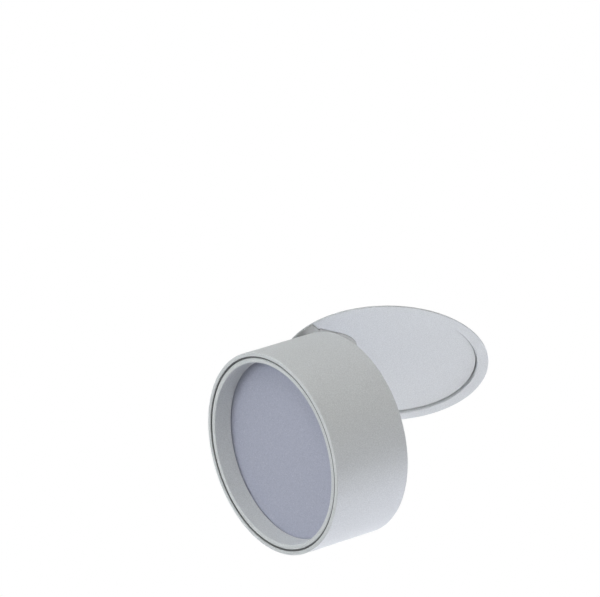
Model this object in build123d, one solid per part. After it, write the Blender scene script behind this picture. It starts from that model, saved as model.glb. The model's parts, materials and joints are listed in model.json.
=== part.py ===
from build123d import *
import math
import os

# Folding ceiling spotlight, in millimetres. +Z points up into the ceiling, and the origin is the
# centre of the flange's seat on the ceiling. The drum hinges at the trim's -Y edge.
# Drum pieces are drawn folded shut, face down, and are then swung open to rest_tilt.

# Trim ring
flange_radius = 47.5
flange_thickness = 0.6
flange_edge_round = 0.25
flange_width = 5.4
lip_round = 0.5
dish_wall = 1.5
ledge_thickness = 2.0
clip_room = 8.6
neck_wall = 1.7
neck_height = 17.5

# Swivel disc and what holds it
disc_recess = 1.2
disc_gap = 0.5
disc_thickness = 2.0
disc_edge_round = 0.3
glide_thickness = 0.5
glide_width = 9.0
glide_clearance = 0.05
hub_clearance = 0.35
hub_wall = 3.65
retainer_overlap = 3.5
retainer_gap = 1.15
retainer_thickness = 1.5
washer_thickness = 0.4
washer_bow = 0.2
washer_clearance = 0.1
retainer_screw_count = 4
retainer_screw_angle = 45.0
stop_tab_width = 3.0
stop_tab_height = 3.2
stop_tab_depth = 1.5
stop_peg_radius = 1.2
stop_peg_reach = 4.0

# Tilt hinge
rest_tilt = 59.6
barrel_radius = 2.6
hinge_rise = 0.3
pin_radius = 1.25
pin_clearance = 0.05
knuckle_half_width = 2.7
knuckle_side_gap = 0.3
ear_width = 2.6
hinge_washer_thickness = 0.4
hinge_washer_radius = 2.4
pin_head_radius = 2.2
pin_head_length = 1.0
foot_length = 11.0
foot_drop = 3.0
foot_end_gap = 0.6
flange_clearance = 0.5
leaf_length = 13.0
leaf_half_width = 6.0
leaf_thickness = 1.8
hinge_room = 0.6

# Drum
drum_gap = 4.3
drum_inset = 0.7
drum_depth = 40.4
drum_wall = 1.8
drum_back = 2.2
drum_back_round = 0.3
drum_rim_round = 0.3
bezel_gap = 0.8
bezel_width = 2.1
bezel_recess = 0.2
bezel_taper = 0.6
bezel_round = 0.4
bezel_foot = 2.0
bezel_foot_clearance = 0.1
bezel_relief_height = 0.5
bezel_relief_depth = 1.0
seal_height = 1.5
diffuser_depth = 9.4
diffuser_thickness = 2.0
inner_clearance = 0.4
reflector_height = 14.5
reflector_rim = 1.8
reflector_foot = 4.3
board_clearance = 0.3
board_thickness = 1.6
board_screw_angle = 30.0
sink_base = 3.0
fin_thickness = 1.6
fin_pitch = 6.0
fin_inset = 1.2
sink_boss_radius = 3.2
led_size = 2.8
led_height = 0.7
led_ring_count = 3
drum_screw_count = 3

# Cable grommets
hub_margin = 0.5
leaf_margin = 3.5
grommet_hole = 4.0
grommet_bore = 2.5
grommet_flange = 5.5
grommet_lip = 1.0
grommet_clearance = 1.0

# Small screws
screw_radius = 1.25
screw_hole_clearance = 0.05
screw_head_radius = 2.2
screw_head_height = 1.2
screw_edge_round = 0.3

# Spring clips
clip_pad_depth = 0.5
clip_pad_margin = 1.0
clip_sheet = 1.0
bracket_half_width = 8.0
bracket_height = 14.0
bracket_lift = 1.5
clip_pin_radius = 1.25
clip_pin_offset = 2.6
clip_pin_lift = 5.0
clip_pin_head_radius = 1.9
clip_pin_head = 0.8
clip_ear_radius = 2.8
clip_side_gap = 0.4
clip_lug_radius = 2.4
blade_half_width = 5.0
blade_reach = 27.0
blade_heel = 1.8
tip_radius = 8.0
tip_turn = 40.0
sleeve_length = 9.0
sleeve_wall = 0.8
spring_wire_radius = 0.4
spring_room = 0.25
spring_pitch = 1.25
spring_full_turns = 3
spring_back_leg = 4.0
spring_blade_leg = 8.0
spring_seat_gap = 0.3
rivet_radius = 1.2
rivet_head_radius = 2.1
rivet_head_height = 0.9
rivet_spacing = 11.0
rivet_drop = 2.6

# Levels and radii that follow from the sizes above
face_z = -flange_thickness
disc_z = face_z + disc_recess
disc_top = disc_z + disc_thickness
ledge_z = disc_top + glide_thickness
ledge_top = ledge_z + ledge_thickness
retainer_z = ledge_top + washer_thickness + washer_bow + 2 * washer_clearance
retainer_top = retainer_z + retainer_thickness
neck_top = ledge_top + neck_height
lip_radius = flange_radius - flange_width
dish_radius = lip_radius + dish_wall
neck_radius = dish_radius - clip_room
neck_bore = neck_radius - neck_wall
retainer_radius = neck_bore - retainer_gap
hub_radius = retainer_radius - retainer_overlap
ledge_bore = hub_radius + hub_clearance
disc_radius = lip_radius - disc_gap
hub_bore = hub_radius - hub_wall
disc_grommet_y = -(hub_bore - hub_margin - grommet_flange)
screw_hole = screw_radius + screw_hole_clearance

back_z = face_z - drum_gap
inner_z = back_z - drum_back
front_z = back_z - drum_depth
drum_radius = flange_radius - drum_inset
drum_bore = drum_radius - drum_wall
hinge_y = -(drum_radius - barrel_radius)
hinge_z = back_z + hinge_rise
hinge_line = Axis((0, hinge_y, hinge_z), (-1, 0, 0))
ear_start = knuckle_half_width + knuckle_side_gap
ear_end = ear_start + ear_width
pin_end = ear_end + hinge_washer_thickness
notch_half_width = pin_end + pin_head_length + hinge_room
notch_inner = hinge_y + barrel_radius + hinge_room
notch_floor = hinge_z - barrel_radius - hinge_room

diffuser_face = front_z + diffuser_depth
diffuser_back = diffuser_face + diffuser_thickness
sink_face = diffuser_back + reflector_height
sink_top = sink_face + sink_base
board_face = sink_face - board_thickness
bezel_front = front_z + bezel_recess
bezel_radius = drum_bore - bezel_gap
bezel_mouth = bezel_radius - bezel_width
inner_radius = drum_bore - inner_clearance
board_radius = inner_radius - reflector_foot - board_clearance
sink_screw_ring = board_radius - 2 * screw_head_radius
board_screw_ring = board_radius - 1.5 * screw_head_radius
led_ring_pitch = (board_screw_ring - screw_head_radius - led_size) / led_ring_count

clip_pad_x = neck_radius + clip_pad_depth
clip_pin_x = clip_pad_x + clip_sheet + clip_pin_offset
bracket_bottom = ledge_top + bracket_lift
bracket_top = bracket_bottom + bracket_height
clip_pin_z = bracket_bottom + clip_pin_lift
lug_outer = bracket_half_width - clip_sheet - clip_side_gap
spring_radius = clip_pin_radius + spring_room + spring_wire_radius
blade_top = clip_pin_z - spring_radius - spring_wire_radius - spring_seat_gap
blade_z = blade_top - clip_sheet
blade_end = clip_pin_x + blade_reach


# Shared shapes
def ring(outer, inner, low, high):
    return Pos(0, 0, low) * extrude(Circle(outer) - Circle(inner), high - low)


def disc(radius, low, high):
    return Pos(0, 0, low) * extrude(Circle(radius), high - low)


def block(x, y, z):
    sizes = [high - low for low, high in (x, y, z)]
    middle = [(high + low) / 2 for low, high in (x, y, z)]
    return Pos(*middle) * Box(*sizes)


def rod(start, end, radius):
    run = Vector(*end) - Vector(*start)
    return extrude(Plane(start, z_dir=run) * Circle(radius), run.length)


def spun(points):
    return revolve(Plane.XZ * make_face(Polyline(*points, close=True)), axis=Axis.Z)


def rounded(shape, radius, level, size):
    """Rounds the circular edges of the given radius at the given height."""
    edges = [
        edge
        for edge in shape.edges().filter_by(GeomType.CIRCLE)
        if abs(edge.center(CenterOf.BOUNDING_BOX).Z - level) < 1e-3
        and abs(edge.radius - radius) < 1e-3
    ]
    return fillet(edges, size)


def around(radius, count, first=90.0):
    """Points spread evenly on a circle about Z, from the given angle on."""
    turns = [math.radians(first + 360.0 * i / count) for i in range(count)]
    return [(radius * math.cos(turn), radius * math.sin(turn)) for turn in turns]


def screw(x, y, seat, length, up=True):
    """A pan-head screw whose head bears on the level seat, with its shank running up or down."""
    way = 1 if up else -1
    head = rod((x, y, seat), (x, y, seat - way * screw_head_height), screw_head_radius)
    outer_edge = head.edges().filter_by(GeomType.CIRCLE).sort_by(Axis.Z)
    head = fillet(outer_edge[0 if up else -1], screw_edge_round)
    return head + rod((x, y, seat), (x, y, seat + way * length), screw_radius)


def drilled(shape, points, low, high, radius):
    for x, y in points:
        shape = shape - rod((x, y, low), (x, y, high), radius)
    return shape


def opened(shape):
    """Swings a drum piece from folded shut to its rest position."""
    return shape.rotate(hinge_line, rest_tilt)


def both_sides(shape):
    """The clip pieces on +X, and their mirror images on -X."""
    return {"right": shape, "left": mirror(shape, about=Plane.YZ)}


# Places that two pieces share
retainer_screw_places = around(
    (hub_radius + hub_bore) / 2, retainer_screw_count, retainer_screw_angle
)
foot_end_y = -(disc_radius - foot_end_gap)
foot_start_y = foot_end_y + foot_length
foot_screw_places = [
    (side * ear_start, foot_start_y - foot_length / 3) for side in (-1, 1)
]
leaf_end_y = hinge_y - knuckle_side_gap
leaf_start_y = notch_inner + leaf_length
drum_grommet_y = leaf_start_y + leaf_margin + grommet_flange
leaf_screw_places = [
    (side * leaf_half_width / 2, leaf_start_y - leaf_length / 3) for side in (-1, 1)
]
sink_screw_places = around(sink_screw_ring, drum_screw_count)
board_screw_places = around(board_screw_ring, drum_screw_count, board_screw_angle)
rivet_places = [
    (side * rivet_spacing / 2, bracket_top - rivet_drop) for side in (-1, 1)
]


# Trim ring and the pieces fixed to it
def trim_ring():
    body = spun(
        [
            (lip_radius, face_z),
            (flange_radius, face_z),
            (flange_radius, 0),
            (dish_radius, 0),
            (dish_radius, ledge_top),
            (neck_radius, ledge_top),
            (neck_radius, neck_top),
            (neck_bore, neck_top),
            (neck_bore, ledge_top),
            (ledge_bore, ledge_top),
            (ledge_bore, ledge_z),
            (lip_radius, ledge_z),
        ]
    )
    pad_half = bracket_half_width + clip_pad_margin
    pads = block((-clip_pad_x, clip_pad_x), (-pad_half, pad_half), (ledge_top, neck_top))
    body = body + (pads - disc(neck_bore, ledge_top, neck_top))
    body = rounded(body, flange_radius, face_z, flange_edge_round)
    body = rounded(body, lip_radius, face_z, lip_round)
    for y, z in rivet_places:
        body = body - rod((-clip_pad_x, y, z), (clip_pad_x, y, z), rivet_radius)
    peg_z = retainer_top + stop_tab_height / 2
    return body - rod((0, 0, peg_z), (0, neck_radius, peg_z), stop_peg_radius)


def glide_ring():
    outer = disc_radius - disc_gap
    return ring(outer, outer - glide_width, disc_top + glide_clearance, ledge_z)


def stop_peg():
    peg_z = retainer_top + stop_tab_height / 2
    return rod((0, neck_bore - stop_peg_reach, peg_z), (0, neck_radius, peg_z), stop_peg_radius)


# Swivel disc and the pieces that turn with it
def swivel_disc():
    body = disc(disc_radius, disc_z, disc_top) + ring(hub_radius, hub_bore, disc_top, retainer_z)
    body = rounded(body, disc_radius, disc_z, disc_edge_round)
    body = drilled(body, [(0, disc_grommet_y)], disc_z, disc_top, grommet_hole)
    body = drilled(body, retainer_screw_places, disc_top, retainer_z, screw_hole)
    return drilled(body, foot_screw_places, disc_z, disc_top, screw_hole)


def retainer_plate():
    body = ring(retainer_radius, hub_bore, retainer_z, retainer_top)
    tab_outer = -retainer_radius + stop_tab_depth / 2
    tab = block(
        (-stop_tab_width / 2, stop_tab_width / 2),
        (tab_outer, tab_outer + stop_tab_depth),
        (retainer_top, retainer_top + stop_tab_height),
    )
    body = body + tab
    return drilled(body, retainer_screw_places, retainer_z, retainer_top, screw_hole)


def retainer_screws():
    length = retainer_top - disc_top
    return Compound(
        [screw(x, y, retainer_top, length, up=False) for x, y in retainer_screw_places]
    )


def wave_washer():
    """A bowed spring washer: an annulus cut from a thin shell of very large radius."""
    outer = retainer_radius - washer_clearance
    shell_radius = outer**2 / (2 * washer_bow)
    low = ledge_top + washer_clearance
    centre = Plane((0, 0, low + washer_bow - shell_radius), x_dir=(1, 0, 0), z_dir=(0, 1, 0))
    shell = centre * (Circle(shell_radius + washer_thickness) - Circle(shell_radius))
    shell = extrude(shell, outer, both=True)
    inner = hub_radius + washer_clearance
    return shell & ring(outer, inner, ledge_top, retainer_z)


def grommet(y, low, high):
    """A flanged bush in a plate that spans the levels low to high."""
    body = ring(grommet_hole, grommet_bore, low, high)
    body = body + ring(grommet_flange, grommet_bore, low - grommet_lip, low)
    body = body + ring(grommet_flange, grommet_bore, high, high + grommet_lip)
    body = rounded(body, grommet_flange, low - grommet_lip, grommet_lip / 2)
    body = rounded(body, grommet_flange, high + grommet_lip, grommet_lip / 2)
    return Pos(0, y, 0) * body


# Tilt hinge
def hinge_bracket():
    foot_z = disc_z - foot_drop
    foot = block((-ear_end, ear_end), (foot_end_y, foot_start_y), (foot_z, disc_z))
    ear_top = face_z - flange_clearance
    root_y = foot_end_y + foot_drop
    profile = make_face(
        Polyline(
            (root_y, ear_top),
            (foot_end_y, ear_top),
            (hinge_y, hinge_z + barrel_radius),
            (hinge_y, hinge_z),
            (hinge_y + barrel_radius, hinge_z),
            (root_y, foot_z),
            close=True,
        )
    )
    profile = profile + Pos(hinge_y, hinge_z) * Circle(barrel_radius)
    profile = profile - Pos(hinge_y, hinge_z) * Circle(pin_radius + pin_clearance)
    body = foot
    for start in (ear_start, -ear_end):
        body = body + Pos(start, 0, 0) * extrude(Plane.YZ * profile, ear_width)
    return drilled(body, foot_screw_places, foot_z, disc_z, screw_hole)


def bracket_screws():
    foot_z = disc_z - foot_drop
    length = disc_top - foot_z
    return Compound([screw(x, y, foot_z, length) for x, y in foot_screw_places])


def hinge_pin():
    shank = rod(
        (-pin_end - pin_head_length, hinge_y, hinge_z), (pin_end, hinge_y, hinge_z), pin_radius
    )
    head = rod(
        (pin_end, hinge_y, hinge_z), (pin_end + pin_head_length, hinge_y, hinge_z), pin_head_radius
    )
    return shank + head


def hinge_nut():
    seat = Plane((-pin_end, hinge_y, hinge_z), x_dir=(0, 1, 0), z_dir=(-1, 0, 0))
    outline = RegularPolygon(pin_head_radius, 6) - Circle(pin_radius)
    return extrude(seat * outline, pin_head_length)


def hinge_washers():
    outline = Circle(hinge_washer_radius) - Circle(pin_radius + pin_clearance)
    washer = extrude(Plane.YZ * (Pos(hinge_y, hinge_z) * outline), hinge_washer_thickness)
    return Compound([Pos(ear_end, 0, 0) * washer, Pos(-pin_end, 0, 0) * washer])


def hinge_arm():
    leaf_z = inner_z - leaf_thickness
    leaf = block(
        (-leaf_half_width, leaf_half_width), (notch_inner, leaf_start_y), (leaf_z, inner_z)
    )
    profile = make_face(
        Polyline(
            (leaf_end_y, hinge_z),
            (hinge_y + barrel_radius, hinge_z),
            (hinge_y + barrel_radius, inner_z),
            (notch_inner, inner_z),
            (notch_inner, leaf_z),
            (leaf_end_y, leaf_z),
            close=True,
        )
    )
    profile = profile + Pos(hinge_y, hinge_z) * Circle(barrel_radius)
    body = leaf + extrude(Plane.YZ * profile, knuckle_half_width, both=True)
    body = body - rod(
        (-knuckle_half_width, hinge_y, hinge_z),
        (knuckle_half_width, hinge_y, hinge_z),
        pin_radius + pin_clearance,
    )
    return drilled(body, leaf_screw_places, leaf_z, inner_z, screw_hole)


# Drum, drawn folded shut
def drum_housing():
    body = spun(
        [
            (0, back_z),
            (drum_radius, back_z),
            (drum_radius, front_z),
            (drum_bore, front_z),
            (drum_bore, inner_z),
            (0, inner_z),
        ]
    )
    body = rounded(body, drum_radius, back_z, drum_back_round)
    body = rounded(body, drum_radius, front_z, drum_rim_round)
    notch = block(
        (-notch_half_width, notch_half_width), (-2 * drum_radius, notch_inner), (notch_floor, 0)
    )
    body = body - notch
    body = drilled(body, [(0, drum_grommet_y)], inner_z, back_z, grommet_hole)
    return drilled(body, leaf_screw_places + sink_screw_places, inner_z, back_z, screw_hole)


def hinge_arm_screws():
    length = drum_back + leaf_thickness
    return Compound([screw(x, y, back_z, length, up=False) for x, y in leaf_screw_places])


def heat_sink():
    reach = inner_radius - fin_inset
    base = disc(inner_radius, sink_face, sink_top)
    fins = []
    count = int(reach // fin_pitch)
    for index in range(-count, count):
        x = (index + 0.5) * fin_pitch
        half = math.sqrt(reach**2 - (abs(x) + fin_thickness / 2) ** 2)
        edges = (x - fin_thickness / 2, x + fin_thickness / 2)
        fins.append(block(edges, (-half, half), (sink_top, inner_z)))
    bosses = [
        rod((x, y, sink_top), (x, y, inner_z), sink_boss_radius) for x, y in sink_screw_places
    ]
    arm_half = notch_half_width + grommet_clearance
    arm_end_y = leaf_start_y + grommet_clearance
    arm_room = block((-arm_half, arm_half), (-drum_radius, arm_end_y), (sink_top, inner_z))
    bush_radius = grommet_flange + grommet_clearance
    bush_room = rod((0, drum_grommet_y, sink_top), (0, drum_grommet_y, inner_z), bush_radius)
    body = base + fins - arm_room - bush_room
    body = body + bosses
    body = drilled(body, sink_screw_places, sink_top, inner_z, screw_hole)
    return drilled(body, board_screw_places, sink_face, sink_top, screw_hole)


def heat_sink_screws():
    length = drum_back + (inner_z - sink_top) / 2
    return Compound([screw(x, y, back_z, length, up=False) for x, y in sink_screw_places])


def led_board():
    body = disc(board_radius, board_face, sink_face)
    return drilled(body, board_screw_places, board_face, sink_face, screw_hole)


def led_packages():
    sides = (-led_size / 2, led_size / 2)
    package = block(sides, sides, (board_face - led_height, board_face))
    rows = [around(led_ring_pitch * row, 6 * row) for row in range(1, led_ring_count + 1)]
    return Compound([Pos(x, y, 0) * package for row in rows for x, y in row])


def board_screws():
    length = board_thickness + sink_base
    return Compound([screw(x, y, board_face, length) for x, y in board_screw_places])


def reflector_ring():
    return spun(
        [
            (inner_radius - reflector_foot, sink_face),
            (inner_radius, sink_face),
            (inner_radius, diffuser_back),
            (inner_radius - reflector_rim, diffuser_back),
        ]
    )


def diffuser():
    return disc(inner_radius, diffuser_face, diffuser_back)


def bezel_ring():
    foot_radius = drum_bore - bezel_foot_clearance
    foot_z = diffuser_face - bezel_foot
    wall_foot = bezel_mouth - bezel_taper
    relief_z = diffuser_face - bezel_relief_height
    body = spun(
        [
            (wall_foot + bezel_relief_depth, diffuser_face),
            (foot_radius, diffuser_face),
            (foot_radius, foot_z),
            (bezel_radius, foot_z),
            (bezel_radius, bezel_front),
            (bezel_mouth, bezel_front),
            (wall_foot, relief_z),
            (wall_foot + bezel_relief_depth, relief_z),
        ]
    )
    body = rounded(body, bezel_radius, bezel_front, bezel_round)
    return rounded(body, bezel_mouth, bezel_front, bezel_round)


def bezel_seal():
    top = diffuser_face - bezel_foot
    return ring(drum_bore, bezel_radius, top - seal_height, top)


# Spring clips, drawn on the +X side
def clip_bracket():
    plate = block(
        (clip_pad_x, clip_pad_x + clip_sheet),
        (-bracket_half_width, bracket_half_width),
        (bracket_bottom, bracket_top),
    )
    outline = Pos(clip_pin_x, clip_pin_z) * Circle(clip_ear_radius)
    middle = (clip_pad_x + clip_pin_x) / 2
    outline = outline + Pos(middle, clip_pin_z) * Rectangle(
        clip_pin_x - clip_pad_x, 2 * clip_ear_radius
    )
    outline = outline - Pos(clip_pin_x, clip_pin_z) * Circle(clip_pin_radius + pin_clearance)
    ear = extrude(Plane.XZ * outline, clip_sheet)
    body = plate + Pos(0, bracket_half_width, 0) * ear
    body = body + Pos(0, clip_sheet - bracket_half_width, 0) * ear
    for y, z in rivet_places:
        body = body - rod((clip_pad_x, y, z), (clip_pad_x + clip_sheet, y, z), rivet_radius)
    return body


def clip_rivet(side, y, z):
    seat = clip_pad_x + clip_sheet
    shank = rod((side * (seat - neck_wall), y, z), (side * seat, y, z), rivet_radius)
    head = rod((side * seat, y, z), (side * (seat + rivet_head_height), y, z), rivet_head_radius)
    outer_edge = head.edges().filter_by(GeomType.CIRCLE).sort_by(Axis.X)
    return shank + fillet(outer_edge[-1 if side > 0 else 0], rivet_head_height / 2)


def clip_rivets():
    return Compound([clip_rivet(side, y, z) for side in (-1, 1) for y, z in rivet_places])


def clip_pin():
    end = bracket_half_width
    body = rod((clip_pin_x, -end, clip_pin_z), (clip_pin_x, end, clip_pin_z), clip_pin_radius)
    for side in (-1, 1):
        inner = (clip_pin_x, side * end, clip_pin_z)
        outer = (clip_pin_x, side * (end + clip_pin_head), clip_pin_z)
        body = body + rod(inner, outer, clip_pin_head_radius)
    return body


def blade_outline():
    """Side view of the blade: a straight strip whose tip curls up."""
    centre = (blade_end, blade_z + tip_radius)
    under = CenterArc(centre, tip_radius, -90, tip_turn)
    over = CenterArc(centre, tip_radius - clip_sheet, -90, tip_turn)
    heel_x = clip_pin_x - blade_heel
    return make_face(
        [
            under,
            Line(under @ 1, over @ 1),
            over,
            Line(over @ 0, (heel_x, blade_top)),
            Line((heel_x, blade_top), (heel_x, blade_z)),
            Line((heel_x, blade_z), under @ 0),
        ]
    )


def clip_arm():
    blade = extrude(Plane.XZ * blade_outline(), blade_half_width, both=True)
    heel = (clip_pin_x - blade_heel, clip_pin_x + blade_heel)
    root = block(heel, (-lug_outer, lug_outer), (blade_z, blade_top))
    outline = Pos(clip_pin_x, clip_pin_z) * Circle(clip_lug_radius)
    outline = outline + Pos(clip_pin_x, (clip_pin_z + blade_z) / 2) * Rectangle(
        2 * blade_heel, clip_pin_z - blade_z
    )
    outline = outline - Pos(clip_pin_x, clip_pin_z) * Circle(clip_pin_radius + pin_clearance)
    lug = extrude(Plane.XZ * outline, clip_sheet)
    body = blade + root + Pos(0, lug_outer, 0) * lug
    return body + Pos(0, clip_sheet - lug_outer, 0) * lug


def clip_sleeve():
    start = blade_end - sleeve_length
    half = blade_half_width + sleeve_wall
    sleeve = block(
        (start, blade_end), (-half, half), (blade_z - sleeve_wall, blade_top + sleeve_wall)
    )
    sleeve = fillet(sleeve.edges().filter_by(Axis.X), sleeve_wall)
    return sleeve - block(
        (start, blade_end), (-blade_half_width, blade_half_width), (blade_z, blade_top)
    )


def coil_point(turn):
    """A point on the spring's helix about the clip pin, and its direction, at a turn in radians."""
    rise = spring_pitch / (2 * math.pi)
    middle = math.pi + math.pi * (spring_full_turns + 0.25)
    point = Vector(
        clip_pin_x + spring_radius * math.cos(turn),
        rise * (turn - middle),
        clip_pin_z + spring_radius * math.sin(turn),
    )
    way = Vector(-spring_radius * math.sin(turn), rise, spring_radius * math.cos(turn))
    return point, way.normalized()


def biarc(start, start_way, end, end_way):
    """Two arcs that leave start and reach end along the given directions."""
    run = end - start
    ways = start_way + end_way
    square = 2 * start_way.dot(end_way) - 2
    half = run.dot(ways)
    reach = (half - math.sqrt(half**2 - square * run.dot(run))) / square
    first = start + start_way * reach
    second = end - end_way * reach
    middle = (first + second) * 0.5
    return [
        TangentArc(start, middle, tangent=start_way),
        TangentArc(middle, end, tangent=second - first),
    ]


def clip_spring():
    quarters = 4 * spring_full_turns + 1
    turns = [math.pi + quarter * math.pi / 2 for quarter in range(quarters + 1)]
    places = [coil_point(turn) for turn in turns]
    edges = []
    for (start, start_way), (end, end_way) in zip(places, places[1:]):
        edges += biarc(start, start_way, end, end_way)
    first, first_way = places[0]
    last, last_way = places[-1]
    top = first - first_way * spring_back_leg
    path = Wire([Line(top, first)] + edges + [Line(last, last + last_way * spring_blade_leg)])
    return sweep(Plane(top, z_dir=first_way) * Circle(spring_wire_radius), path=path)


def spring_gap():
    """The least free gap between neighbouring turns of the spring."""
    steps = 24
    turns = [
        math.pi + 2 * math.pi * step / steps
        for step in range(int(steps * (spring_full_turns + 0.25)) + 1)
    ]
    points = [coil_point(turn)[0] for turn in turns]
    least = min(
        (points[i] - points[j]).length
        for i in range(len(points))
        for j in range(i + steps // 2, len(points))
    )
    return least - 2 * spring_wire_radius


parts = {
    "trim_ring": trim_ring(),
    "glide_ring": glide_ring(),
    "stop_peg": stop_peg(),
    "clip_rivets": clip_rivets(),
    "swivel_disc": swivel_disc(),
    "retainer_plate": retainer_plate(),
    "retainer_screws": retainer_screws(),
    "wave_washer": wave_washer(),
    "disc_grommet": grommet(disc_grommet_y, disc_z, disc_top),
    "hinge_bracket": hinge_bracket(),
    "bracket_screws": bracket_screws(),
    "hinge_pin": hinge_pin(),
    "hinge_nut": hinge_nut(),
    "hinge_washers": hinge_washers(),
}
drum_parts = {
    "hinge_arm": hinge_arm(),
    "hinge_arm_screws": hinge_arm_screws(),
    "drum_housing": drum_housing(),
    "heat_sink": heat_sink(),
    "heat_sink_screws": heat_sink_screws(),
    "led_board": led_board(),
    "led_packages": led_packages(),
    "board_screws": board_screws(),
    "reflector_ring": reflector_ring(),
    "diffuser": diffuser(),
    "bezel_ring": bezel_ring(),
    "bezel_seal": bezel_seal(),
    "drum_grommet": grommet(drum_grommet_y, inner_z, back_z),
}
clip_parts = {
    "clip_bracket": clip_bracket(),
    "clip_pin": clip_pin(),
    "clip_arm": clip_arm(),
    "clip_sleeve": clip_sleeve(),
    "clip_spring": clip_spring(),
}
parts.update({name: opened(shape) for name, shape in drum_parts.items()})
for name, shape in clip_parts.items():
    parts.update({f"{name}_{side}": made for side, made in both_sides(shape).items()})

os.makedirs("parts", exist_ok=True)
for name, shape in parts.items():
    export_step(shape, f"parts/{name}.step")
print(f"least gap between the turns of a clip spring: {spring_gap():.2f} mm")
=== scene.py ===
import json
import math

import bpy
from mathutils import Matrix, Vector


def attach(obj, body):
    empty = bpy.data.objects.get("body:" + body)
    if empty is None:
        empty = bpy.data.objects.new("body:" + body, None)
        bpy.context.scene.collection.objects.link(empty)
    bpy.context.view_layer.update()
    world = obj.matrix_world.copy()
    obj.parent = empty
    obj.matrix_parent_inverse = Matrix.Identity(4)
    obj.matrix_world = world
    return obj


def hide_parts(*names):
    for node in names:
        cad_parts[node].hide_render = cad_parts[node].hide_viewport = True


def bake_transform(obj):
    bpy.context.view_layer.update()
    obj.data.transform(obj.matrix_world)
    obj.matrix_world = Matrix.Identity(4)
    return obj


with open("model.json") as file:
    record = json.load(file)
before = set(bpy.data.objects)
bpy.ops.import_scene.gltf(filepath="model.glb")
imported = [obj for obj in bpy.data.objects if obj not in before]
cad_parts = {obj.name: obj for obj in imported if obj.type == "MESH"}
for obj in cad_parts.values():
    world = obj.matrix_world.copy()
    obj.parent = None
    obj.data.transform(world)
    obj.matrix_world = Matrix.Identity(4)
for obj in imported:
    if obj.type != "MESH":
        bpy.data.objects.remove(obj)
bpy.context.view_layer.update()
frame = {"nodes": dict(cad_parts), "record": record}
nodes = frame["nodes"]
slot_of = {part["node"]: part["material_slot"] for part in frame["record"]["subparts"]}

# Sizes repeated from the part, in metres and radians
MM = 0.001
HINGE_Y = -44.2 * MM
HINGE_Z = -4.6 * MM
REST_TILT = math.radians(59.6)
SCREW_RADIUS = 1.25 * MM
SCREW_HEAD_RADIUS = 2.2 * MM
SCREW_HEAD_HEIGHT = 1.2 * MM
RIVET_RADIUS = 1.2 * MM
RIVET_HEAD_RADIUS = 2.1 * MM
RIVET_HEAD_HEIGHT = 0.9 * MM
CLIP_PIN_X = 39.1 * MM
CLIP_PIN_Z = 11.6 * MM
SPRING_RADIUS = 1.9 * MM
SPRING_WIRE_RADIUS = 0.4 * MM
SPRING_PITCH = 1.25 * MM
SPRING_TURNS = 3.25
SPRING_BACK_LEG = 4.0 * MM
SPRING_BLADE_LEG = 8.0 * MM

# Places of the part's screws and rivets, in mm and degrees, and the lengths of their shanks.
# Those on the drum are given with the drum shut.
RETAINER_SCREW_RING = 26.825
RETAINER_SCREW_ANGLES = (45, 135, 225, 315)
RETAINER_SCREW_LENGTH = 4.8
RETAINER_TOP = 7.4
FOOT_SCREW_X = 3.0
FOOT_SCREW_Y = -33.667
FOOT_SCREW_LENGTH = 5.0
FOOT_Z = -2.4
LEAF_SCREW_X = 3.0
LEAF_SCREW_Y = -32.333
LEAF_SCREW_LENGTH = 4.0
SINK_SCREW_RING = 35.6
SINK_SCREW_ANGLES = (90, 210, 330)
SINK_SCREW_LENGTH = 6.85
DRUM_BACK_Z = -4.9
BOARD_SCREW_RING = 36.7
BOARD_SCREW_ANGLES = (30, 150, 270)
BOARD_SCREW_LENGTH = 4.6
BOARD_FACE_Z = -21.0
RIVET_SEAT_X = 36.5
RIVET_Y = 5.5
RIVET_Z = 18.0
RIVET_LENGTH = 1.7


# Small helpers
def linear(hex_colour):
    """An sRGB hex colour as linear RGBA."""
    channels = [int(hex_colour[i:i + 2], 16) / 255 for i in (1, 3, 5)]
    return tuple(
        c / 12.92 if c <= 0.04045 else ((c + 0.055) / 1.055) ** 2.4 for c in channels
    ) + (1.0,)


def add(tree, kind, inputs=None, **settings):
    """Adds a node with its settings, and sets or links its inputs."""
    node = tree.nodes.new(kind)
    for name, value in settings.items():
        setattr(node, name, value)
    for socket, value in (inputs or {}).items():
        if isinstance(value, bpy.types.NodeSocket):
            tree.links.new(value, node.inputs[socket])
        elif isinstance(value, list):
            for source in value:
                tree.links.new(source, node.inputs[socket])
        else:
            node.inputs[socket].default_value = value
    return node


def calc(tree, operation, *values, **settings):
    """The result of a math node on numbers or sockets."""
    inputs = dict(enumerate(values))
    return add(tree, "ShaderNodeMath", inputs, operation=operation, **settings).outputs[0]


def vector(tree, x=0.0, y=0.0, z=0.0):
    """A vector joined from numbers or sockets."""
    return add(tree, "ShaderNodeCombineXYZ", {"X": x, "Y": y, "Z": z}).outputs[0]


def new_object(name, data):
    obj = bpy.data.objects.new(name, data)
    bpy.context.scene.collection.objects.link(obj)
    return obj


def mesh_object(name, points, faces):
    mesh = bpy.data.meshes.new(name)
    mesh.from_pydata(points, [], faces)
    return new_object(name, mesh)


def toward(azimuth, elevation):
    """The direction out to a viewer, in degrees, with azimuth 0 at -Y and 90 at +X."""
    turn, tilt = math.radians(azimuth), math.radians(elevation)
    return Vector((
        math.sin(turn) * math.cos(tilt), -math.cos(turn) * math.cos(tilt), math.sin(tilt)
    ))


# The range in which most of a noise texture's values lie, and how finely each noise is drawn
GRAIN_LOW, GRAIN_HIGH = 0.25, 0.75
GRAIN_DETAIL, GRAIN_ROUGHNESS = 2.0, 0.55
OVERLAY_DETAIL = 3.0
# How far the grain moves the roughness either way
ROUGHNESS_SPREAD = 0.05
# The colour sockets of a mix node
MIX_FIRST, MIX_SECOND, MIX_RESULT = 6, 7, 2


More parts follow.
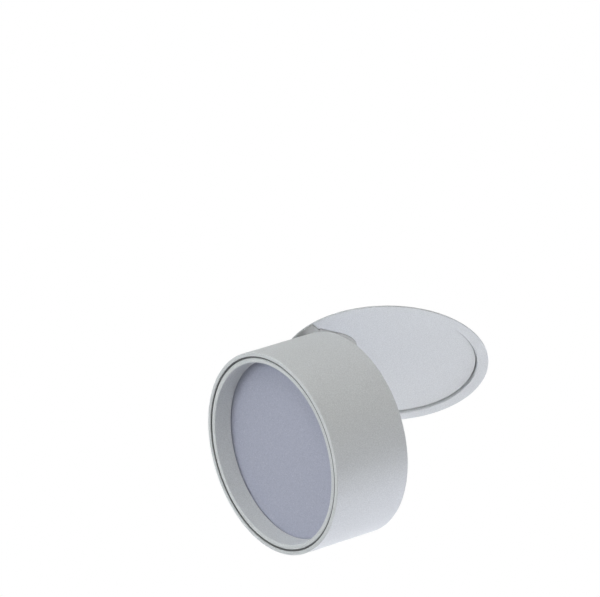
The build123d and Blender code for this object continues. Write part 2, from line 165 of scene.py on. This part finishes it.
def new_material(name):
    material = bpy.data.materials.new(name)
    material.use_nodes = True
    material.node_tree.nodes.clear()
    return material, material.node_tree


def mixed(tree, share, first, second):
    """A colour that runs from first to second with the share."""
    return add(tree, "ShaderNodeMix", {
        "Factor": share, MIX_FIRST: first, MIX_SECOND: second,
    }, data_type="RGBA").outputs[MIX_RESULT]


def finish_of(name, shade, light, grain_mm, roughness, bump_mm=0.0, overlays=(), **shader):
    """A surface whose colour runs from shade to light with a grain of a real size.

    The grain also drives a small change in roughness and a bump of the given height. Each overlay
    is a pattern of its own size, laid on where its noise passes from low to high, as
    (size in mm, low, high, strength, colour). The rest are constant sockets of the shader.
    """
    material, tree = new_material(name)
    place = add(tree, "ShaderNodeTexCoord").outputs["Object"]
    grain = add(tree, "ShaderNodeTexNoise", {
        "Vector": place, "Scale": 1 / (grain_mm * MM),
        "Detail": GRAIN_DETAIL, "Roughness": GRAIN_ROUGHNESS,
    }).outputs["Fac"]
    share = add(tree, "ShaderNodeMapRange", {
        "Value": grain, "From Min": GRAIN_LOW, "From Max": GRAIN_HIGH,
    }).outputs[0]
    colour = mixed(tree, share, linear(shade), linear(light))
    for size_mm, low, high, strength, laid_on in overlays:
        cover = add(tree, "ShaderNodeTexNoise", {
            "Vector": place, "Scale": 1 / (size_mm * MM), "Detail": OVERLAY_DETAIL,
        }).outputs["Fac"]
        cover = add(tree, "ShaderNodeMapRange", {
            "Value": cover, "From Min": low, "From Max": high, "To Max": strength,
        }).outputs[0]
        colour = mixed(tree, cover, colour, linear(laid_on))
    rough = add(tree, "ShaderNodeMapRange", {
        "Value": grain, "From Min": GRAIN_LOW, "From Max": GRAIN_HIGH,
        "To Min": roughness - ROUGHNESS_SPREAD, "To Max": roughness + ROUGHNESS_SPREAD,
    }).outputs[0]
    inputs = {"Base Color": colour, "Roughness": rough, **shader}
    if bump_mm:
        inputs["Normal"] = add(tree, "ShaderNodeBump", {
            "Height": grain, "Distance": bump_mm * MM, "Strength": 1.0,
        }).outputs[0]
    surface = add(tree, "ShaderNodeBsdfPrincipled", inputs).outputs[0]
    add(tree, "ShaderNodeOutputMaterial", {"Surface": surface})
    return material


# Materials, named for what the real pieces are made of, and for painted shade where a colour stands
# for it
# Sprayed and baked powder: satin, with a fine pebbled grain. Real grit is about 0.3 mm and is
# drawn at 0.5 mm, because a pixel of the photograph covers 0.46 mm.
white_coat = finish_of(
    "powder-coated aluminium", "#C2C5C8", "#DADDE0", 0.5, 0.55, bump_mm=0.05,
    **{"Specular IOR Level": 0.3},
)

# Frosted sheet: no gloss, bright specks, and a cool cast while unlit. The bright specks are painted
# glints of the frosting's sparkle; they are about 0.2 mm and are drawn at 0.8 mm, nearly two pixels
# of the photograph.
opal_plastic = finish_of(
    "frosted opal polycarbonate", "#A0A3B6", "#B6B9CA", 0.6, 0.65, bump_mm=0.01,
    overlays=((0.8, 0.62, 0.72, 0.6, "#C9CBD6"),), **{"Specular IOR Level": 0.3},
)

# Pressed steel sheet round the hinge, matt mid grey and slightly rough. Its grey is painted shade:
# the darker tone where the drum shades the disc and flange beside its back rim. Its grain of about
# 0.3 mm is drawn at 0.6 mm, for the same reason as the powder coat's.
hinge_shade_grey = finish_of("grey sheet as painted shade", "#ACADAB", "#B8B9B7", 0.6, 0.7, bump_mm=0.02)

finishes = {
    "white_coat": white_coat,
    "opal_plastic": opal_plastic,
    # Injection-moulded reflector: bright, smooth white.
    "white_plastic": finish_of("moulded white polycarbonate", "#ECECEA", "#F2F2F0", 2.0, 0.3),
    # Unfilled nylon: cream, slightly waxy.
    "nylon": finish_of("natural moulded nylon", "#DDD8C8", "#E6E1D2", 1.5, 0.45, bump_mm=0.005),
    # Bright zinc on pressed steel: cool metal with a faint cloudy crystal pattern.
    "zinc_steel": finish_of(
        "zinc-plated steel", "#AEB2B6", "#C9CCCF", 1.6, 0.34,
        overlays=((5.0, 0.45, 0.75, 0.6, "#B9B8A6"),), Metallic=1.0,
    ),
    # Oil-tempered wire: mid-grey metal with a fine mottle.
    "spring_steel": finish_of("drawn spring steel", "#85888C", "#A2A5A8", 0.6, 0.3, Metallic=1.0),
    # As cast: dull grey metal with a fine mottle from the mould.
    "cast_aluminium": finish_of(
        "bare die-cast aluminium", "#A6A8AA", "#C0C2C4", 0.8, 0.48, bump_mm=0.02,
        overlays=((7.0, 0.45, 0.75, 0.6, "#96989B"),), Metallic=1.0,
    ),
    # Screen-printed mask on an aluminium core: flat white.
    "board_white": finish_of("white solder mask", "#E6E9E8", "#EFF1F0", 1.0, 0.35),
    # Silicone filled with phosphor powder: deep yellow, glossy.
    "phosphor": finish_of("phosphor silicone", "#E8C24A", "#F2D468", 0.3, 0.25),
    # Moulded rubber: dark grey with a fine bloom.
    "dark_rubber": finish_of("moulded dark rubber", "#4A4C4E", "#585A5C", 0.6, 0.62, bump_mm=0.01),
    # Dipped soft vinyl: milky and slightly glossy.
    "clear_vinyl": finish_of("dipped soft vinyl", "#D9D9D4", "#E4E4DF", 2.0, 0.3, bump_mm=0.01),
}

for name, obj in nodes.items():
    obj.data.materials.clear()
    obj.data.materials.append(finishes[slot_of[name]])


# Screws, rivets and springs, drawn by geometry nodes over their plain solids
def new_tree(name, sizes):
    """A geometry tree with a mesh going in and out, and a named input for each size."""
    tree = bpy.data.node_groups.new(name, "GeometryNodeTree")
    tree.interface.new_socket("Places", in_out="INPUT", socket_type="NodeSocketGeometry")
    for label, kind in sizes.items():
        tree.interface.new_socket(label, in_out="INPUT", socket_type=kind)
    tree.interface.new_socket("Pieces", in_out="OUTPUT", socket_type="NodeSocketGeometry")
    return tree, add(tree, "NodeGroupInput").outputs


def end_tree(tree, geometry, finish):
    """Ends a tree with real meshes in the given finish."""
    real = add(tree, "GeometryNodeRealizeInstances", {"Geometry": geometry}).outputs[0]
    done = add(tree, "GeometryNodeSetMaterial", {"Geometry": real, "Material": finish}).outputs[0]
    add(tree, "NodeGroupOutput", {"Pieces": done})


def moved(tree, geometry, by):
    return add(tree, "GeometryNodeTransform", {"Geometry": geometry, "Translation": by}).outputs[0]


def attribute(tree, name, kind):
    return add(
        tree, "GeometryNodeInputNamedAttribute", {"Name": name}, data_type=kind
    ).outputs[0]


# The length of a cross recess, as a share of the head's radius
RECESS_REACH = 1.15


def fastener_tree():
    """A domed head and a shank at every place, along the place's facing and shank attributes."""
    tree, size = new_tree("domed fastener", {
        "Head radius": "NodeSocketFloat", "Head height": "NodeSocketFloat",
        "Crown": "NodeSocketFloat", "Shank radius": "NodeSocketFloat",
        "Cross recess": "NodeSocketBool", "Recess width": "NodeSocketFloat",
        "Finish": "NodeSocketMaterial",
    })
    radius, height, width = size["Head radius"], size["Head height"], size["Recess width"]
    blank = add(tree, "GeometryNodeMeshCylinder", {
        "Vertices": 32, "Side Segments": 4, "Fill Segments": 6, "Radius": radius, "Depth": height,
    }, fill_type="TRIANGLE_FAN").outputs["Mesh"]
    blank = moved(tree, blank, vector(tree, z=calc(tree, "MULTIPLY", height, 0.5)))

    # The crown lowers a point by its height and by the square of its distance from the middle
    spot = add(tree, "GeometryNodeInputPosition").outputs[0]
    flat = add(
        tree, "ShaderNodeVectorMath", {0: spot, 1: (1, 1, 0)}, operation="MULTIPLY"
    ).outputs[0]
    out = add(tree, "ShaderNodeVectorMath", {0: flat}, operation="LENGTH").outputs["Value"]
    square = calc(tree, "POWER", calc(tree, "DIVIDE", out, radius), 2.0)
    drop = calc(tree, "MULTIPLY", square, size["Crown"])
    keep = vector(tree, 1.0, 1.0, calc(tree, "SUBTRACT", 1.0, drop))
    domed = add(tree, "ShaderNodeVectorMath", {0: spot, 1: keep}, operation="MULTIPLY").outputs[0]
    head = add(tree, "GeometryNodeSetPosition", {"Geometry": blank, "Position": domed}).outputs[0]

    # A cross recess, cut half way into the head
    length = calc(tree, "MULTIPLY", radius, RECESS_REACH)
    raised = vector(tree, z=height)
    slots = []
    for bar in (vector(tree, length, width, height), vector(tree, width, length, height)):
        cube = add(tree, "GeometryNodeMeshCube", {"Size": bar}).outputs["Mesh"]
        slots.append(moved(tree, cube, raised))
    cut = add(
        tree, "GeometryNodeMeshBoolean", {"Mesh 1": head, "Mesh 2": slots}, operation="DIFFERENCE"
    ).outputs[0]
    head = add(tree, "GeometryNodeSwitch", {
        "Switch": size["Cross recess"], "False": head, "True": cut,
    }, input_type="GEOMETRY").outputs[0]

    # The shank is one unit long, and each place stretches its own
    shank = add(tree, "GeometryNodeMeshCylinder", {
        "Vertices": 20, "Radius": size["Shank radius"], "Depth": 1.0,
    }).outputs["Mesh"]
    shank = moved(tree, shank, (0, 0, -0.5))
    facing = attribute(tree, "facing", "FLOAT_VECTOR")
    turned = add(
        tree, "FunctionNodeAlignRotationToVector", {"Vector": facing}, axis="Z"
    ).outputs[0]
    stretch = vector(tree, 1.0, 1.0, attribute(tree, "shank", "FLOAT"))
    heads = add(tree, "GeometryNodeInstanceOnPoints", {
        "Points": size["Places"], "Instance": head, "Rotation": turned,
    }).outputs[0]
    shanks = add(tree, "GeometryNodeInstanceOnPoints", {
        "Points": size["Places"], "Instance": shank, "Rotation": turned, "Scale": stretch,
    }).outputs[0]
    both = add(tree, "GeometryNodeJoinGeometry", {"Geometry": [heads, shanks]}).outputs[0]
    end_tree(tree, both, size["Finish"])
    return tree


def spring_tree():
    """A torsion spring round a pin along Y: a straight leg, the coil, and a leg along the blade."""
    tree, size = new_tree("torsion spring", {
        "Side": "NodeSocketFloat", "Pin x": "NodeSocketFloat", "Pin z": "NodeSocketFloat",
        "Coil radius": "NodeSocketFloat", "Pitch": "NodeSocketFloat", "Turns": "NodeSocketFloat",
        "Wire radius": "NodeSocketFloat", "Back leg": "NodeSocketFloat",
        "Blade leg": "NodeSocketFloat", "Steps": "NodeSocketInt", "Finish": "NodeSocketMaterial",
    })
    radius, pitch, steps = size["Coil radius"], size["Pitch"], size["Steps"]
    # The first and last points are the ends of the legs, with one more point than steps between
    count = calc(tree, "ADD", steps, 3.0)
    line = add(tree, "GeometryNodeMeshLine", {"Count": count}, mode="OFFSET").outputs["Mesh"]
    index = add(tree, "GeometryNodeInputIndex").outputs[0]
    passed = calc(tree, "SUBTRACT", index, 1.0)
    along = calc(tree, "DIVIDE", passed, steps, use_clamp=True)
    first = calc(tree, "LESS_THAN", index, 0.5)
    last = calc(tree, "GREATER_THAN", passed, steps)
    back_leg = calc(tree, "MULTIPLY", first, size["Back leg"])
    blade_leg = calc(tree, "MULTIPLY", last, size["Blade leg"])

    turned = calc(tree, "MULTIPLY", along, size["Turns"])
    angle = calc(tree, "MULTIPLY_ADD", turned, 2 * math.pi, math.pi)
    x = calc(tree, "MULTIPLY_ADD", calc(tree, "COSINE", angle), radius, size["Pin x"])
    x = calc(tree, "MULTIPLY", calc(tree, "ADD", x, blade_leg), size["Side"])
    z = calc(tree, "MULTIPLY_ADD", calc(tree, "SINE", angle), radius, size["Pin z"])
    z = calc(tree, "ADD", z, back_leg)

    # The legs keep the slope at which the coil leaves them
    half = calc(tree, "MULTIPLY", size["Turns"], 0.5)
    centred = calc(tree, "SUBTRACT", turned, half)
    slope = calc(tree, "DIVIDE", pitch, calc(tree, "MULTIPLY", radius, 2 * math.pi))
    beyond = calc(tree, "MULTIPLY", calc(tree, "SUBTRACT", blade_leg, back_leg), slope)
    y = calc(tree, "MULTIPLY_ADD", centred, pitch, beyond)
    wire = add(tree, "GeometryNodeSetPosition", {
        "Geometry": line, "Position": vector(tree, x, y, z),
    }).outputs[0]
    wire = add(tree, "GeometryNodeMeshToCurve", {"Mesh": wire}).outputs[0]
    section = add(tree, "GeometryNodeCurvePrimitiveCircle", {
        "Resolution": 14, "Radius": size["Wire radius"],
    }).outputs["Curve"]
    swept = add(tree, "GeometryNodeCurveToMesh", {
        "Curve": wire, "Profile Curve": section, "Fill Caps": True,
    }).outputs[0]
    end_tree(tree, swept, size["Finish"])
    return tree


# Edges that turn by more than this are drawn sharp
SHARP_ANGLE = math.radians(40)


def made_plain(obj):
    """Keeps what an object's modifiers make as its own plain mesh."""
    evaluated = obj.evaluated_get(bpy.context.evaluated_depsgraph_get())
    made = bpy.data.meshes.new_from_object(evaluated)
    obj.modifiers.clear()
    obj.data = made
    made.name = obj.name
    made.shade_smooth()
    made.set_sharp_from_angle(angle=SHARP_ANGLE)
    return obj


def drawn_by(tree, name, places, values):
    """Runs a tree over a mesh of places, and keeps what it makes as a plain mesh."""
    obj = new_object(name, places)
    modifier = obj.modifiers.new("drawing", "NODES")
    modifier.node_group = tree
    for item in tree.interface.items_tree:
        if item.in_out == "INPUT" and item.name in values:
            modifier[item.identifier] = values[item.name]
    return made_plain(obj)


def place_mesh(name, rows):
    """Points with the way each faces and the length of its shank."""
    mesh = bpy.data.meshes.new(name)
    mesh.from_pydata([spot for spot, facing, shank in rows], [], [])
    facings = mesh.attributes.new("facing", "FLOAT_VECTOR", "POINT")
    facings.data.foreach_set("vector", [c for spot, facing, shank in rows for c in facing])
    shanks = mesh.attributes.new("shank", "FLOAT", "POINT")
    shanks.data.foreach_set("value", [shank for spot, facing, shank in rows])
    return mesh


def in_metres(spot):
    return tuple(c * MM for c in spot)


def opened(x, y, z):
    """A point of the drum, given in mm with the drum shut, at the rest tilt and in metres."""
    dy, dz = y * MM - HINGE_Y, z * MM - HINGE_Z
    return (
        x * MM,
        HINGE_Y + dy * math.cos(REST_TILT) + dz * math.sin(REST_TILT),
        HINGE_Z - dy * math.sin(REST_TILT) + dz * math.cos(REST_TILT),
    )


def round_circle(radius, angles, z):
    """Points in mm on a circle about the axis, at the given angles in degrees."""
    return [
        (radius * math.cos(math.radians(a)), radius * math.sin(math.radians(a)), z) for a in angles
    ]


UP, DOWN = (0, 0, 1), (0, 0, -1)
DRUM_UP = (0, math.sin(REST_TILT), math.cos(REST_TILT))
DRUM_DOWN = tuple(-c for c in DRUM_UP)
SIDES = (-1, 1)

swivel_rows = [
    (in_metres(spot), UP, RETAINER_SCREW_LENGTH * MM)
    for spot in round_circle(RETAINER_SCREW_RING, RETAINER_SCREW_ANGLES, RETAINER_TOP)
] + [
    (in_metres((side * FOOT_SCREW_X, FOOT_SCREW_Y, FOOT_Z)), DOWN, FOOT_SCREW_LENGTH * MM)
    for side in SIDES
]
drum_rows = [
    (opened(side * LEAF_SCREW_X, LEAF_SCREW_Y, DRUM_BACK_Z), DRUM_UP, LEAF_SCREW_LENGTH * MM)
    for side in SIDES
] + [
    (opened(*spot), DRUM_UP, SINK_SCREW_LENGTH * MM)
    for spot in round_circle(SINK_SCREW_RING, SINK_SCREW_ANGLES, DRUM_BACK_Z)
] + [
    (opened(*spot), DRUM_DOWN, BOARD_SCREW_LENGTH * MM)
    for spot in round_circle(BOARD_SCREW_RING, BOARD_SCREW_ANGLES, BOARD_FACE_Z)
]
rivet_rows = [
    (in_metres((side * RIVET_SEAT_X, end * RIVET_Y, RIVET_Z)), (side, 0, 0), RIVET_LENGTH * MM)
    for side in SIDES for end in SIDES
]

# A crown of 0 leaves a head flat, and 1 would bring its edge down to the seat
SCREW_CROWN, RIVET_CROWN = 0.4, 0.75
RECESS_WIDTH = 0.6 * MM
fastener = fastener_tree()
screw_sizes = {
    "Head radius": SCREW_HEAD_RADIUS, "Head height": SCREW_HEAD_HEIGHT, "Crown": SCREW_CROWN,
    "Shank radius": SCREW_RADIUS, "Cross recess": True, "Recess width": RECESS_WIDTH,
}
rivet_sizes = {
    "Head radius": RIVET_HEAD_RADIUS, "Head height": RIVET_HEAD_HEIGHT, "Crown": RIVET_CROWN,
    "Shank radius": RIVET_RADIUS, "Cross recess": False, "Recess width": RECESS_WIDTH,
}
for name, rows, sizes, body, stands_for in (
    ("swivel_screws", swivel_rows, screw_sizes, "swivel", ("retainer_screws", "bracket_screws")),
    ("drum_screws", drum_rows, screw_sizes, "drum",
     ("hinge_arm_screws", "heat_sink_screws", "board_screws")),
    ("bracket_rivets", rivet_rows, rivet_sizes, "trim", ("clip_rivets",)),
):
    slot = slot_of[stands_for[0]]
    piece = drawn_by(fastener, name, place_mesh(name, rows), {**sizes, "Finish": finishes[slot]})
    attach(piece, body)
    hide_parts(*stands_for)

SPRING_STEPS = 104
spring = spring_tree()
for side, hand in ((-1, "left"), (1, "right")):
    node = f"clip_spring_{hand}"
    slot = slot_of[node]
    piece = drawn_by(spring, f"wound_spring_{hand}", bpy.data.meshes.new(node), {
        "Side": float(side), "Pin x": CLIP_PIN_X, "Pin z": CLIP_PIN_Z,
        "Coil radius": SPRING_RADIUS, "Pitch": SPRING_PITCH, "Turns": SPRING_TURNS,
        "Wire radius": SPRING_WIRE_RADIUS, "Back leg": SPRING_BACK_LEG,
        "Blade leg": SPRING_BLADE_LEG, "Steps": SPRING_STEPS, "Finish": finishes[slot],
    })
    # The coil winds up from its fixed leg to the leg that follows the blade
    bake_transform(piece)
    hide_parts(node)


# A thin cover round the hinge bracket, flat on the disc and then stepped down over the flange.
# Its grey is painted shade, where the drum shades the disc and flange beside its back rim.
# Its sizes are in mm.
COVER_THICKNESS = 0.3
COVER_DISC_Z = 0.3
COVER_FLANGE_Z = -1.0
COVER_HALF_WIDTH = 13.9
COVER_FLARED_WIDTH = 17.4
COVER_END_ROUND = 11.0
COVER_ROUND_Y = -27.4
COVER_RIM = 47.3
STEP_RADIUS = 41.2
STEP_LEAD = 0.6
BRACKET_BITE = 6.0
BRACKET_BITE_Y = -29.6
GROMMET_Y = -19.0
GROMMET_BITE = 6.2
COVER_STEPS = 16


def arc(x, y, radius, start, end):
    """Points in mm along an arc, with its angles in degrees."""
    turns = [math.radians(start + (end - start) * i / COVER_STEPS) for i in range(COVER_STEPS + 1)]
    return [(x + radius * math.cos(t), y + radius * math.sin(t)) for t in turns]


def cover_row(radius, half_width):
    """Points in mm across the right half of the cover, at one distance from the disc's middle."""
    span = half_width - BRACKET_BITE
    across = [BRACKET_BITE + span * i / COVER_STEPS for i in range(COVER_STEPS + 1)]
    return [(x, -math.sqrt(radius**2 - x**2)) for x in across]


def cover_outline(first_row):
    """The part on the disc, with bites for the bracket and the grommet."""
    round_x = COVER_HALF_WIDTH - COVER_END_ROUND
    rise = GROMMET_Y - COVER_ROUND_Y
    gap = math.hypot(round_x, rise)
    # Where the rounded end meets the grommet's bite, as an angle at the middle of each
    spread = math.acos(
        (gap**2 + COVER_END_ROUND**2 - GROMMET_BITE**2) / (2 * gap * COVER_END_ROUND)
    )
    at_end = math.atan2(rise, -round_x) - spread
    meet_x = round_x + COVER_END_ROUND * math.cos(at_end)
    meet_y = COVER_ROUND_Y + COVER_END_ROUND * math.sin(at_end)
    at_bite = math.degrees(math.atan2(meet_y - GROMMET_Y, meet_x))
    half = first_row + arc(round_x, COVER_ROUND_Y, COVER_END_ROUND, 0, math.degrees(at_end))
    half += arc(0, GROMMET_Y, GROMMET_BITE, at_bite, -90)[1:]
    other_half = [(-x, y) for x, y in reversed(half[:-1])]
    return half + other_half + [(-BRACKET_BITE, BRACKET_BITE_Y), (BRACKET_BITE, BRACKET_BITE_Y)]


def hinge_cover_and_shade():
    rows = [
        (cover_row(STEP_RADIUS - STEP_LEAD, COVER_HALF_WIDTH), COVER_DISC_Z),
        (cover_row(STEP_RADIUS, COVER_HALF_WIDTH), COVER_DISC_Z),
        (cover_row(STEP_RADIUS, COVER_HALF_WIDTH), COVER_FLANGE_Z),
        (cover_row(COVER_RIM, COVER_FLARED_WIDTH), COVER_FLANGE_Z),
    ]
    outline = cover_outline(rows[0][0])
    points = [(x * MM, y * MM, COVER_DISC_Z * MM) for x, y in outline]
    faces = [tuple(reversed(range(len(outline))))]
    # The first row begins the outline, and its mirror image ends it before the two corners
    right_row = list(range(COVER_STEPS + 1))
    left_row = [len(outline) - 3 - i for i in right_row]
    for side, inner in ((1, right_row), (-1, left_row)):
        for row, z in rows[1:]:
            outer = list(range(len(points), len(points) + len(row)))
            points += [(side * x * MM, y * MM, z * MM) for x, y in row]
            for i in range(COVER_STEPS):
                face = (inner[i], inner[i + 1], outer[i + 1], outer[i])
                faces.append(face if side > 0 else face[::-1])
            inner = outer
    obj = mesh_object("hinge_cover_and_shade", points, faces)
    sheet = obj.modifiers.new("thickness", "SOLIDIFY")
    sheet.thickness = COVER_THICKNESS * MM
    sheet.offset = -1
    sheet.use_even_offset = True
    return made_plain(obj)


piece = hinge_cover_and_shade()
# The grey is painted shade beside the drum's back rim.
piece.data.materials.append(hinge_shade_grey)
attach(piece, "swivel")


# A round dark bead in the joint round the bezel: painted shade, which makes the joint show as a
# dark line. Its sizes are in mm, with the drum shut.
BEAD_RING = 44.6
BEAD_RADIUS = 0.36
BEAD_Z = -44.86
BEAD_STEPS, BEAD_SIDES = 180, 12


def joint_shade_bead():
    points, faces = [], []
    for i in range(BEAD_STEPS):
        turn = 2 * math.pi * i / BEAD_STEPS
        for j in range(BEAD_SIDES):
            roll = 2 * math.pi * j / BEAD_SIDES
            reach = BEAD_RING + BEAD_RADIUS * math.cos(roll)
            z = BEAD_Z + BEAD_RADIUS * math.sin(roll)
            points.append(opened(reach * math.cos(turn), reach * math.sin(turn), z))
            here, over = i * BEAD_SIDES, (i + 1) % BEAD_STEPS * BEAD_SIDES
            after = (j + 1) % BEAD_SIDES
            faces.append((here + j, over + j, over + after, here + after))
    obj = mesh_object("joint_shade_bead", points, faces)
    obj.data.shade_smooth()
    return obj


piece = joint_shade_bead()
# The dark rubber here is painted shade in the joint round the bezel.
piece.data.materials.append(finishes["dark_rubber"])
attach(piece, "drum")


# Camera at the photograph's viewing angle, fitted to the outlines of the trim and the drum.
# Angles are in degrees, distances in metres, and the aim's offset in pixels.
AZIMUTH = 65.62
ELEVATION = -34.09
ROLL = -0.61
DISTANCE = 2.2895
LENS_MM = 300.0
SENSOR_MM = 36.0
IMAGE_WIDTH = 600
AIM = Vector((0, 0, -0.6 * MM))
AIM_RIGHT = 84.7
AIM_DOWN = 66.1
CLIP_END = 100

back = toward(AZIMUTH, ELEVATION)
right = Vector((math.cos(math.radians(AZIMUTH)), math.sin(math.radians(AZIMUTH)), 0))
up = back.cross(right)
turn = Matrix.Rotation(math.radians(ROLL), 3, back)
right, up = turn @ right, turn @ up
pixel = DISTANCE * SENSOR_MM / LENS_MM / IMAGE_WIDTH
place = AIM + back * DISTANCE - right * (AIM_RIGHT * pixel) + up * (AIM_DOWN * pixel)
camera_data = bpy.data.cameras.new("camera")
camera_data.lens = LENS_MM
camera_data.sensor_width = SENSOR_MM
camera_data.clip_end = CLIP_END
camera = new_object("camera", camera_data)
camera.matrix_world = Matrix((
    (right.x, up.x, back.x, place.x),
    (right.y, up.y, back.y, place.y),
    (right.z, up.z, back.z, place.z),
    (0, 0, 0, 1),
))
bpy.context.scene.camera = camera


# Stage: a white ceiling with the cut-out, a pale floor and a white world. Lengths are in metres.
CEILING_Z = 0.2 * MM
CEILING_HOLE = 47.2 * MM
CEILING_REACH = 3.0
FLOOR_Z = -1.6
FLOOR_HOLE = 1.0 * MM
FLOOR_REACH = 6.0
RING_STEPS = 96
# The world's strength as a light, against 1 where it is seen
AMBIENT = 0.2


def seen_rays(tree):
    """1 for rays that show the background as such: camera, glossy and transmission rays."""
    rays = add(tree, "ShaderNodeLightPath").outputs
    seen = calc(tree, "MAXIMUM", rays["Is Camera Ray"], rays["Is Glossy Ray"])
    return calc(tree, "MAXIMUM", seen, rays["Is Transmission Ray"])


def backdrop_paint(name, colour, one_sided):
    """Matt paint that the camera sees as plain white, and that still bounces light."""
    material, tree = new_material(name)
    matt = add(tree, "ShaderNodeBsdfDiffuse", {"Color": linear(colour)}).outputs[0]
    white = add(tree, "ShaderNodeEmission", {"Color": (1, 1, 1, 1), "Strength": 1.0}).outputs[0]
    surface = add(tree, "ShaderNodeMixShader", {0: seen_rays(tree), 1: matt, 2: white}).outputs[0]
    if one_sided:
        behind = add(tree, "ShaderNodeNewGeometry").outputs["Backfacing"]
        clear = add(tree, "ShaderNodeBsdfTransparent").outputs[0]
        surface = add(tree, "ShaderNodeMixShader", {0: behind, 1: surface, 2: clear}).outputs[0]
    add(tree, "ShaderNodeOutputMaterial", {"Surface": surface})
    return material


def flat_ring(name, inner, outer, z, material, face_down):
    """A flat ring as one stage object."""
    points, faces = [], []
    for radius in (inner, outer):
        for step in range(RING_STEPS):
            angle = 2 * math.pi * step / RING_STEPS
            points.append((radius * math.cos(angle), radius * math.sin(angle), z))
    for step in range(RING_STEPS):
        after = (step + 1) % RING_STEPS
        face = (step, RING_STEPS + step, RING_STEPS + after, after)
        faces.append(face[::-1] if face_down else face)
    obj = mesh_object(name, points, faces)
    obj.data.materials.append(material)


ceiling_paint = backdrop_paint("white ceiling paint", "#F4F4F2", one_sided=True)
flat_ring("ceiling", CEILING_HOLE, CEILING_REACH, CEILING_Z, ceiling_paint, face_down=True)
floor_paint = backdrop_paint("pale floor paint", "#F0F0EE", one_sided=False)
flat_ring("floor", FLOOR_HOLE, FLOOR_REACH, FLOOR_Z, floor_paint, face_down=False)

world = bpy.data.worlds.new("studio")
bpy.context.scene.world = world
world.use_nodes = True
world.node_tree.nodes.clear()
tree = world.node_tree
level = add(tree, "ShaderNodeMapRange", {
    "Value": seen_rays(tree), "To Min": AMBIENT, "To Max": 1.0,
}).outputs[0]
sky = add(tree, "ShaderNodeBackground", {"Color": (1, 1, 1, 1), "Strength": level}).outputs[0]
add(tree, "ShaderNodeOutputWorld", {"Surface": sky})

# Round softboxes: name, azimuth and elevation in degrees, width in metres, level and colour. The
# level is about how bright the lamp makes a white surface that faces it.
LAMP_DISTANCE = 1.5
LAMPS = (
    ("key from below and behind", 237, -47, 0.14, 0.43, "#FDFCFF"),
    ("right fill", 190, -14, 0.6, 0.43, "#ECEFFF"),
    ("front fill", 62, -5, 0.6, 0.28, "#FFFCF2"),
    ("left fill", 0, -6, 0.9, 0.47, "#FAFFFF"),
    ("light above the ceiling", 40, 60, 0.9, 0.6, "#FFFFFF"),
)
for name, azimuth, elevation, width, level, colour in LAMPS:
    direction = toward(azimuth, elevation)
    data = bpy.data.lights.new(name, "AREA")
    data.shape = "DISK"
    data.size = width
    data.color = linear(colour)[:3]
    data.energy = level * math.pi * math.pi * LAMP_DISTANCE ** 2
    lamp = new_object(name, data)
    lamp.location = direction * LAMP_DISTANCE
    lamp.rotation_euler = direction.to_track_quat("Z", "Y").to_euler()

bpy.context.scene.view_settings.view_transform = "Standard"
